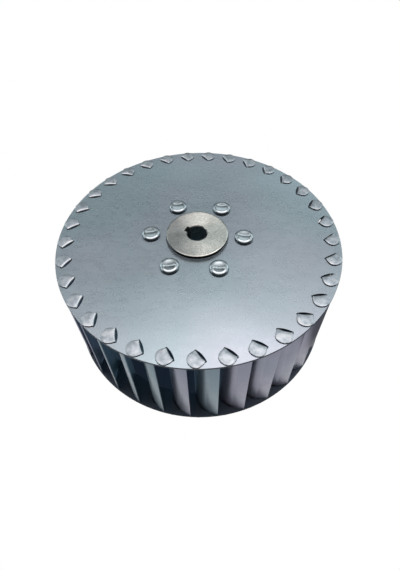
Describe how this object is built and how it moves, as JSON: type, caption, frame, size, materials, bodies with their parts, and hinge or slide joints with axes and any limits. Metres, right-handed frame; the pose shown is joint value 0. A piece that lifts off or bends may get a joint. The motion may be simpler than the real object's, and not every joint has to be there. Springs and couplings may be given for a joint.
{
  "type": "radial fan impeller",
  "caption": "Forward-curved sheet-metal fan wheel: tabbed blades clinched between a back plate and an inlet ring, on a riveted hub with a keyed bore.",
  "frame": {"origin": "on the wheel's axis, at the level of the folded tabs under the inlet ring that it rests on", "axes": "+Z along the axis from the inlet ring to the back plate; -Y towards the front of the picture"},
  "size_m": [0.2, 0.2, 0.0826],
  "materials": {
    "plate_sheet": "galvanised sheet, satin, bluish grey",
    "blade_sheet": "galvanised sheet, satin",
    "hub_steel": "turned, nickel-toned",
    "rivet_steel": "formed, smooth"
  },
  "bodies": {
    "root": {"back_plate": "plate_sheet", "inlet_ring": "plate_sheet", "hub": "hub_steel", "rivet_1": "rivet_steel", "rivet_2": "rivet_steel", "rivet_3": "rivet_steel", "rivet_4": "rivet_steel", "rivet_5": "rivet_steel", "rivet_6": "rivet_steel", "blade_01": "blade_sheet", "blade_02": "blade_sheet", "blade_03": "blade_sheet", "blade_04": "blade_sheet", "blade_05": "blade_sheet", "blade_06": "blade_sheet", "blade_07": "blade_sheet", "blade_08": "blade_sheet", "blade_09": "blade_sheet", "blade_10": "blade_sheet", "blade_11": "blade_sheet", "blade_12": "blade_sheet", "blade_13": "blade_sheet", "blade_14": "blade_sheet", "blade_15": "blade_sheet", "blade_16": "blade_sheet", "blade_17": "blade_sheet", "blade_18": "blade_sheet", "blade_19": "blade_sheet", "blade_20": "blade_sheet", "blade_21": "blade_sheet", "blade_22": "blade_sheet", "blade_23": "blade_sheet", "blade_24": "blade_sheet", "blade_25": "blade_sheet", "blade_26": "blade_sheet", "blade_27": "blade_sheet", "blade_28": "blade_sheet", "blade_29": "blade_sheet", "blade_30": "blade_sheet", "blade_31": "blade_sheet", "blade_32": "blade_sheet", "blade_33": "blade_sheet"}
  },
  "joints": []
}
